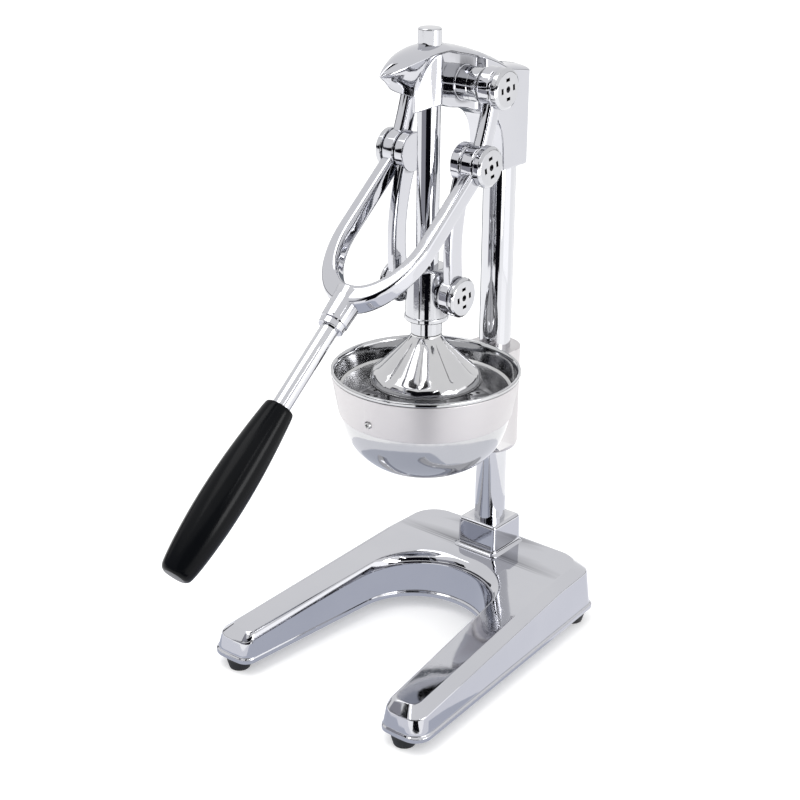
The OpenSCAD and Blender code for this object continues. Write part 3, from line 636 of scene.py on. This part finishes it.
newPiece("end_caps", pair(at(discHead(38.4, 43.3, 11.4, 5), 0, *pivotA)), "frame", "axle_end_caps",
         turnedChrome)
bushSide = rounded([(10.9, 9.7), (11.2, 10, 0.2), (11.2, 17.8), (10.8, 18.1), (11.2, 18.4), (11.2, 24.2, 0.4),
                    (11.9, 24.5, 0.2), (11.9, 25.6, 0.3), (11.2, 25.8)], 3)
bush = turned([(axleBore, 9.7)] + bushSide + [(axleBore, 25.8)], ring=True)
newPiece("bushes", pair(alongX(bush, *pivotA)), "frame", "spacer_bushes", turnedChrome)
washer = turned(rounded([(axleBore, 25.85), (11, 25.85, 0.4), (11, 27.7, 0.4), (axleBore, 27.7)], 3), ring=True)
newPiece("washers", pair(alongX(washer, *pivotA)), "frame", "thrust_washers", screwSteel)

# lever: forked casting, tube and grip

leverShape = {"drop": 39.2, "inner": 28.0, "outer": 38.0, "hub": 13.4, "tube": 6.05, "tubeStart": 118.1,
              "tubeEnd": 300.1, "gripStart": 201.0, "gripLength": 123.0}
dropCos, dropSin = cos(radians(leverShape["drop"])), sin(radians(leverShape["drop"]))


def alongHandle(shape):
    # a shape with -Y along the handle and the origin at the upper link pivot
    return placed(shape, lambda x, y, z: (x, pivotB[0] + y * dropCos - z * dropSin,
                                          pivotB[1] + y * dropSin + z * dropCos))


def onHandle(profile, count=96, ring=False):
    # a turned shape round the handle, its heights are distances from the upper link pivot
    return alongHandle(placed(turned(profile, count, ring), lambda a, b, c: (a, -c, b)))


def sweptBar(stations, n, square):
    # bar of rounded section along (centre, side, up, half width, half height)
    rows = []
    for centre, side, up, wide, high in stations:
        row = []
        for i in range(n):
            g = 2 * pi * (i + 0.5) / n
            a = math.copysign(abs(cos(g)) ** (2 / square), cos(g)) * wide
            b = math.copysign(abs(sin(g)) ** (2 / square), sin(g)) * high
            row.append(tuple(Vector(centre) + Vector(side) * a + Vector(up) * b))
        rows.append(row)
    return loft(rows)


def forkStation(g):
    inner = Vector((leverShape["inner"] * cos(g), -67 - 42.6 * sin(g), 0))
    outer = Vector((leverShape["outer"] * cos(g), -67 - 57 * sin(g), 0))
    f = g / (pi / 2)
    middle, across = (inner + outer) / 2, outer - inner
    return ((middle.x, middle.y, -0.8 + 0.8 * f), across.normalized(), (0, 0, 1), across.length / 2,
            6.2 + 2.2 * f * f)


tineX = (leverShape["inner"] + leverShape["outer"]) / 2
forkRight = [((tineX, y, -0.8), (1, 0, 0), (0, 0, 1), 5, 6.2) for y in steps(-2, -67, -6)]
forkRight += [forkStation(radians(g)) for g in range(0, 91, 3)]
forkLeft = [((-c[0], c[1], c[2]), (-s[0], s[1], 0), u, w, h) for c, s, u, w, h in reversed(forkRight[:-1])]
fork = alongHandle(sweptBar(forkRight + forkLeft, 44, 4.6))


def hub(x0, x1, radius, place, edge=2.8):
    # round boss with a small inner edge and a wide soft outer edge
    return alongX(turned(rounded([(0, x0), (radius, x0, 0.9), (radius, x1, edge), (0, x1)], 7), 112), *place)


a, b = Vector((0, *pivotA)), Vector((0, *pivotB))
up = (a - b).normalized()
across = Vector((0, -up.z, up.y))
crank = sweptBar([(tuple(b.lerp(a, t) + Vector((tineX, 0, 0))), (1, 0, 0), tuple(across), 4.8,
                   6.2 + 1.6 * (2 * t - 1) ** 2) for t in steps(0, 1, 0.06) + [1]], 44, 3)
hubs = [hub(leverShape["inner"], leverShape["outer"], leverShape["hub"], place) for place in (pivotA, pivotB)]
socket = onHandle(rounded([(0, 111), (10.6, 113), (10, 119, 12), (9.5, 133, 8), (9.5, 135.3, 0.4),
                           (8.8, 136, 0.3), (8.75, 140, 0.5), (8.2, 140.5, 0.2), (0, 140.5)], 4))
yoke = worked(fork, *[("UNION", pair(s)) for s in (crank, *hubs)], ("UNION", socket),
              ("DIFFERENCE", alongX(cylinder(6.06, -50, 50), *pivotA)),
              ("DIFFERENCE", pair(alongX(cylinder(pinBore, 27, 47), *pivotB))),
              ("DIFFERENCE", onHandle([(0, 118), (6.1, 118), (6.1, 150), (0, 150)])))
newPiece("lever_fork", yoke, "lever", "lever_yoke", castChrome)
r, low, high = leverShape["tube"], leverShape["tubeStart"], leverShape["tubeEnd"]
tube = onHandle([(r - 1.5, low), (r, low)] + [(r, mix(low, high, k / 10)) for k in range(1, 11)]
                + [(r - 1.5, high)], ring=True)
newPiece("handle_tube", tube, "lever", "lever_tube", barChrome)
start, length, socketDepth = leverShape["gripStart"], leverShape["gripLength"], 102.5
gripLine = bend([(8.6, 0.2), (9.7, 1.6), (10.6, 8), (12.2, 24), (13.6, 44), (14.2, 64), (13.9, 84), (12.6, 104),
                 (11, 117), (9.6, 121.4), (7.4, 123)], 6)
grip = onHandle([(r + 0.05, start)] + [(w, start + h) for w, h in gripLine]
                + [(0, start + length), (0, start + socketDepth), (r + 0.05, start + socketDepth)],
                112, ring=True)
newPiece("hand_grip", grip, "lever", "grip", gripPlastic, 50)
pinB = alongX(cylinder(5, leverShape["inner"] - 0.05, 38.2, 64), 0, 0)
newPiece("upper_pins", pair(at(worked(discHead(38.1, 43.3, 11.6, 12), ("UNION", pinB)), 0, *pivotB)), "lever",
         "upper_pins", turnedChrome)
print("lever made")

# bow links

linkShape = {"inner": 19.5, "outer": 27.5, "hub": 13.4, "bow": 7.5, "half": 6.9, "swell": 1.2}
b, c = Vector((0, *pivotB)), Vector((0, *pivotC))
up = (b - c).normalized()
across = Vector((0, -up.z, up.y))
linkRows = []
for t in steps(0, 1, 0.04) + [1]:
    centre = c.lerp(b, t) + across * linkShape["bow"] * 4 * t * (1 - t)
    centre.x = (linkShape["inner"] + linkShape["outer"]) / 2
    linkRows.append((tuple(centre), (1, 0, 0), tuple(across), 3.4,
                     linkShape["half"] + linkShape["swell"] * (2 * t - 1) ** 2))
link = worked(sweptBar(linkRows, 48, 5),
              *[("UNION", hub(linkShape["inner"], linkShape["outer"], linkShape["hub"], place, 2.2))
                for place in (pivotC, pivotB)],
              ("DIFFERENCE", alongX(cylinder(pinBore, 17, 37), *pivotC)))
newPiece("bow_link_right", link, "right_link", "link_right", castChrome)
newPiece("bow_link_left", mirrored(link), "left_link", "link_left", castChrome)
pinC = alongX(cylinder(5, rodRadius + 1.6, 28.2, 64), 0, 0)
newPiece("lower_pins", pair(at(worked(discHead(27.8, 31.4, 11.8, 5), ("UNION", pinC)), 0, *pivotC)), "plunger",
         "lower_pins", turnedChrome)

# plunger

plungerShape = {"top": 442, "low": 232, "block": 14.3, "foot": 14.9, "blockLow": 247.4, "blockHigh": 285}
low, high = plungerShape["low"], plungerShape["top"]
newPiece("rod", turned([(0, low), (rodRadius, low)]
                       + [(rodRadius, mix(low, high - 1.1, k / 12)) for k in range(1, 13)]
                       + rounded([(rodRadius, high - 1.1), (rodRadius, high, 1.05), (0, high)], 5)[1:], 128),
         "plunger", "plunger_rod", barChrome)
r, w, low, high = (plungerShape[k] for k in ("block", "foot", "blockLow", "blockHigh"))
crosshead = turned(rounded([(0, low), (w, low, 0.8), (w, 250.8, 0.7), (r, 251, 0.15), (r, high, 2.4),
                            (0, high)], 5), 128)
earSide = bend([(7.4, 12), (7.6, 13.5), (8.6, 15.2), (10.4, 16.8), (11.6, 17.8), (12, 18.6), (11.8, 19.2)], 4)
ear = alongX(turned([(0, 8)] + earSide + [(0, 19.2)]), *pivotC)
crosshead = worked(crosshead, ("UNION", pair(ear)), ("DIFFERENCE", cylinder(rodBore, 240, 300)),
                   ("DIFFERENCE", pair(alongX(cylinder(pinBore, rodRadius + 1.5, 30), *pivotC))),
                   ("DIFFERENCE", alongY(cylinder(grubBore, 6.6, 26, 32), 0, 255)))
newPiece("crosshead_block", crosshead, "plunger", "crosshead", turnedChrome)
ringSide = rounded([(rodBore, 237.4), (10.5, 237.4, 0.5), (10.5, 247, 0.5), (rodBore, 247)], 4)
newPiece("collar_ring", turned(ringSide, ring=True), "plunger", "cone_collar", turnedChrome)

coneShape = {"radius": 38.3, "low": 202.5, "petals": 9, "depth": 0.085, "flute": 0.2, "fluteEnd": 33.5}
r = coneShape["radius"]
coneOut = bend([(r, 0), (r - 0.2, 2.6), (36.4, 6.8), (32.6, 10.4), (25, 17.8), (19, 23.8), (14, 28.7),
                (11.8, 31.4), (10.4, 33.6)], 7)
coneIn = bend([(9, 28), (14.6, 25.2), (25.2, 14.4), (32.6, 7.2), (35.2, 3.4), (r - 2, 0.2)], 3)
grooveShare = smoothTable([[11, 0], [17, 1], [32, 1], [36.5, 0.2], [r, 0]])


def coneRow(radius, height, outside):
    # narrow grooves between the petals, and on the outside a shallow flute with a round end in each petal
    row = []
    n = coneShape["petals"] * 30
    for i in range(n):
        g = 2 * pi * i / n
        wave = abs(cos(g * coneShape["petals"] / 2))
        q = radius * (1 - coneShape["depth"] * grooveShare(radius) * (1 - wave ** 0.5))
        if outside:
            end = coneShape["fluteEnd"] - 4.5 * (1 - wave ** 0.5)
            share = max(0, min(1, (end - radius) / 1.2)) * max(0, min(1, (radius - 12) / 6))
            q -= coneShape["flute"] * wave * share
        row.append((q * cos(g), q * sin(g), coneShape["low"] + height))
    return row


cone = worked(loft([coneRow(*p, False) for p in coneIn] + [coneRow(*p, True) for p in coneOut]),
              ("UNION", cylinder(10.5, 231, 237.2)), ("DIFFERENCE", cylinder(rodBore, 231.8, 260)))
newPiece("petal_cone", cone, "plunger", "press_cone", coneChrome, 40)
print("plunger made")

# bowl, its bracket and strainer

bowlShape = {"outlet": 13.0, "wall": 1.4, "rim": 65.0, "rimTop": 211.5, "screw": 189.0}
bowlOut = bend([(bowlShape["outlet"], 141), (22, 141.5), (29, 142.6), (35.2, 144.6), (41.4, 148.4),
                (46.8, 153.2), (51, 158.2), (54, 163.4), (56.2, 169.4), (57.8, 175.4), (58.8, 181.3)], 5)
bowlOut += [(62.6, 208.8)]
bowlIn = moved(bowlOut, bowlShape["wall"])
r, h = bowlShape["rim"], bowlShape["rimTop"]
rim = rounded([(62.6, 208.8), (r, 208.8, 0.6), (r, h, 0.9), (63.2, h, 0.6), bowlIn[-1]], 4)


def frontHole(radius, low, high):
    # drill from the front at the height of the small band screw
    hole = cylinder(radius, low, high, 48)
    return "DIFFERENCE", placed(hole, lambda a, b, c: (a, -c, b + bowlShape["screw"]))


bowl = worked(turned(bowlOut + rim[1:-1] + list(reversed(bowlIn)), 144, ring=True), frontHole(1.55, 40, 80))
newPiece("bowl_cup", bowl, "frame", "bowl", bowlChrome)

bracketShape = {"collar": 18.5, "collarLow": 125.5, "collarTop": 205.0, "bandLow": 181.0, "bandTop": 208.7,
                "screws": (146, 186)}
q, low, high = bracketShape["collar"], bracketShape["bandLow"], bracketShape["bandTop"]
band = turned(rounded([(50, low), (59.9, low, 0.5), (64.8, high - 0.2, 0.4), (50, high)], 4), 144, ring=True)
low, high = bracketShape["collarLow"], bracketShape["collarTop"]
collar = at(turned(rounded([(0, low), (q, low, 6), (q, high, 0.6), (0, high)], 8), 128), 0, columnY, 0)
webSide = ((columnY, 131), (64.3, 131.5), (46, 149.5), (46, high), (columnY, high))
web = loft([[(x, y, z) for y, z in webSide] for x in (-q, q)])
room = turned([(0, 136), (13, 138)] + moved(bowlOut, -0.3) + [(63, 215), (0, 215)], 144)
bracket = worked(band, ("UNION", web), ("UNION", collar), ("DIFFERENCE", room),
                 ("DIFFERENCE", at(cylinder(columnBore, 120, 220), 0, columnY, 0)),
                 frontHole(1.55, 40, 80), frontHole(2.9, 61, 70),
                 *[("DIFFERENCE", alongY(cylinder(3.05, columnY, columnY + 30, 32), 0, z))
                   for z in bracketShape["screws"]])
newPiece("bracket_band", bracket, "frame", "bowl_bracket", satinSteel)

strainerTop = [(59.3, 198.2), (57.4, 197), (54.6, 190), (52.6, 184.6), (50.4, 182.8), (33.6, 182.8)] + bend(
    [(31.6, 184), (30.4, 190), (28, 200), (23.5, 208), (16.5, 214.4), (8.5, 218.3), (0, 219.5)], 5)
strainerLow = [p for p in moved(strainerTop, 1) if 0.5 < p[0] < 59] + [(0, 218.5)]
strainer = turned(strainerTop + list(reversed(strainerLow)) + [(59.3, 197.2)], 128, ring=True)
ribSide = ((31.8, 183.4), (32.2, 190), (30, 200.6), (25, 209.2), (17.6, 216), (9, 219.8), (3, 220.6),
           (3, 218.6), (15, 213.5), (22, 207.5), (27, 199.5), (30, 189), (30.6, 183.4))
rib = loft([[(y, x, z) for y, z in ribSide] for x in (-1, 1)])
ribs = []
for k in range(8):
    g = radians(22.5 + 45 * k)
    turnedRib = placed(rib, lambda x, y, z, g=g: (x * cos(g) - y * sin(g), x * sin(g) + y * cos(g), z))
    ribs.append(("UNION", turnedRib))
holes = [at(cylinder(1.6, 178, 187, 20), far * cos(radians(12 * k)), far * sin(radians(12 * k)), 0)
         for k in range(30) for far in (38.4, 44.6)]
strainer = worked(strainer, *ribs, ("DIFFERENCE", joined(*holes)))
newPiece("strainer_dish", strainer, "frame", "strainer", strainerSteel)
print("bowl made")

# hidden and small parts keep the CAD's shape
for name, paint in (("foot_screws", screwSteel), ("column_bolt", screwSteel), ("column_washer", screwSteel),
                    ("head_set_screws", screwSteel), ("pivot_axle", barChrome), ("crosshead_screw", screwSteel),
                    ("bracket_screws", screwSteel), ("bowl_screw", screwSteel)):
    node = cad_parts[name]
    node.data.materials.clear()
    node.data.materials.append(paint)

low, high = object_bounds()

# studio


def stageSheet(name, points, faces, paint):
    mesh = bpy.data.meshes.new(name)
    mesh.from_pydata(points, [], faces)
    mesh.materials.append(paint)
    sheet = bpy.data.objects.new(name, mesh)
    bpy.context.scene.collection.objects.link(sheet)
    sheet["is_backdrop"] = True
    return sheet


floorPaint, nodes, links, shader = startPaint("floorPaint")
shader.inputs["Base Color"].default_value = (0.9, 0.9, 0.9, 1)
shader.inputs["Roughness"].default_value = 0.9
shader.inputs["Specular IOR Level"].default_value = 0
shader.inputs["Emission Color"].default_value = (1, 1, 1, 1)
shader.inputs["Emission Strength"].default_value = 0.3
stageSheet("floor", [(-6, -6, 0), (6, -6, 0), (6, 6, 0), (-6, 6, 0)], [(0, 1, 2, 3)], floorPaint)


def glowPaint(name, colour, strength):
    paint = bpy.data.materials.new(name)
    paint.use_nodes = True
    tree = paint.node_tree
    tree.nodes.clear()
    glow = tree.nodes.new("ShaderNodeEmission")
    glow.inputs["Color"].default_value = (*colour, 1)
    glow.inputs["Strength"].default_value = strength
    tree.links.new(glow.outputs[0], tree.nodes.new("ShaderNodeOutputMaterial").inputs["Surface"])
    return paint


studio = {"cameraSide": 38.773, "world": 1.0, "white": 1.6, "floorWhite": 1.5, "streak": 9.0}
blackCard = glowPaint("blackCard", (0.004, 0.004, 0.006), 1)
greyCard = glowPaint("greyCard", (0.36, 0.36, 0.4), 1)
roomCard = glowPaint("roomCard", (0.06, 0.06, 0.07), 1)
shadeCard = glowPaint("shadeCard", (0.62, 0.65, 0.74), 1)
paleCard = glowPaint("paleCard", (1.0, 1.01, 1.07), 1)
slateCard = glowPaint("slateCard", (0.17, 0.185, 0.21), 1)
whiteCard = glowPaint("whiteCard", (1, 1, 1), studio["white"])
floorCard = glowPaint("floorCard", (1, 1, 1), studio["floorWhite"])
streakCard = glowPaint("streakCard", (1, 1, 1), studio["streak"])


def reflected(card):
    # seen in the chrome only
    card.visible_camera = card.visible_diffuse = card.visible_shadow = card.visible_transmission = False
    return card


def strip(name, fromSide, toSide, edges, paint):
    # strip round the object between two edges of (distance, height)
    # its sides are degrees to the right of the camera's side
    n = 24
    points = []
    for k in range(n + 1):
        g = radians(studio["cameraSide"] + mix(fromSide, toSide, k / n))
        points += [(far * sin(g), -far * cos(g), height) for far, height in edges(k / n)]
    faces = [(2 * k, 2 * k + 1, 2 * k + 3, 2 * k + 2) for k in range(n)]
    return reflected(stageSheet(name, points, faces, paint))


def screen(name, fromSide, toSide, far, low, high, paint):
    return strip(name, fromSide, toSide, lambda t: ((far, low), (far, high)), paint)


def level(name, fromSide, toSide, near, far, height, paint):
    # flat part of a ring, far is its outer edge at both sides
    return strip(name, fromSide, toSide, lambda t: ((near, height), (mix(*far, t), height)), paint)


def sheet(name, middle, long, wide, paint):
    # flat card from its middle and two half sides
    m, u, w = Vector(middle), Vector(long), Vector(wide)
    corners = [tuple(m + a * u + b * w) for a, b in ((-1, -1), (1, -1), (1, 1), (-1, 1))]
    return reflected(stageSheet(name, corners, [(0, 1, 2, 3)], paint))


screen("blackScreen", -28, 20, 0.75, 0.0, 0.15, blackCard)
screen("blackScreenTop", -28, 20, 0.4, 0.2, 0.34, blackCard)
screen("greyScreenTop", -75, -28, 0.4, 0.2, 0.34, greyCard)
screen("greyScreen", -75, -28, 0.75, 0.0, 0.15, greyCard)
screen("whiteScreen", 46, 88, 0.8, 0.0, 0.5, whiteCard)
screen("cameraScreen", -40, 30, 0.95, 0.36, 1.0, blackCard)
screen("sideScreen", -79, -60, 0.8, 0.3, 0.6, blackCard)
screen("roomScreen", -140, 140, 3.0, 0.3, 0.8, roomCard)
screen("rearScreen", 155, 205, 1.5, 0.0, 0.3, slateCard)
level("floorSlate", 155, 205, 0.4, (1.5, 1.5), 0.002, slateCard)
level("floorDark", -12, 12, 0.3, (0.75, 0.75), 0.002, blackCard)
level("floorWhite", 40, 76, 0.3, (0.78, 0.78), 0.002, floorCard)
level("floorShade", -180, 6, 0.0, (0.19, 0.19), 0.0015, shadeCard)
level("floorShadeRight", 6, 40, 0.0, (0.19, 0.1), 0.0015, shadeCard)
level("floorShadeRear", 40, 180, 0.0, (0.1, 0.12), 0.0015, shadeCard)
level("floorPale", -180, 180, 0.0, (0.26, 0.26), 0.001, paleCard)
sheet("overheadCard", (0, -0.21, 1.5), (0.2, 0, 0), (0, 0.33, 0), blackCard)
sheet("wideStreak", (0.43, -0.06, 0.28), (0, -0.116, -0.095), (-0.012, -0.04, 0.05), streakCard)
sheet("thinStreak", (0.39, -0.22, 0.51), (0, -0.06, -0.05), (-0.006, -0.005, 0.007), streakCard)

world = bpy.data.worlds.new("studio")
bpy.context.scene.world = world
world.use_nodes = True
world.node_tree.nodes["Background"].inputs["Color"].default_value = (1, 1, 1, 1)
world.node_tree.nodes["Background"].inputs["Strength"].default_value = studio["world"]


def softLight(name, place, size, power):
    light = bpy.data.lights.new(name, "AREA")
    light.size, light.energy = size, power
    lamp = bpy.data.objects.new(name, light)
    lamp.location = place
    lamp.rotation_mode = "QUATERNION"
    lamp.rotation_quaternion = (Vector((0, 0, 0.2)) - Vector(place)).to_track_quat("-Z", "Y")
    bpy.context.scene.collection.objects.link(lamp)
    return lamp


softLight("topLight", (-0.3, -0.4, 1.6), 1.0, 8)

# camera at the photograph's place
view = {"place": (651.73, -839.22, 634.11), "down": 22.813, "roll": 0.361, "lens": 75.342}
a, e, roll = (radians(g) for g in (studio["cameraSide"], view["down"], view["roll"]))
forward = Vector((-sin(a) * cos(e), cos(a) * cos(e), -sin(e)))
flat, rise = Vector((cos(a), sin(a), 0)), Vector((-sin(a) * sin(e), cos(a) * sin(e), cos(e)))
right, top = flat * cos(roll) + rise * sin(roll), rise * cos(roll) - flat * sin(roll)
camera = bpy.data.objects.new("camera", bpy.data.cameras.new("camera"))
camera.matrix_world = Matrix((right, top, -forward)).transposed().to_4x4()
camera.location = Vector(view["place"]) * mm
camera.data.lens, camera.data.sensor_width = view["lens"], 36
camera.data.clip_start, camera.data.clip_end = 0.05, 50
bpy.context.scene.collection.objects.link(camera)
bpy.context.scene.camera = camera
bpy.context.scene.view_settings.view_transform = "Standard"
print("studio made")
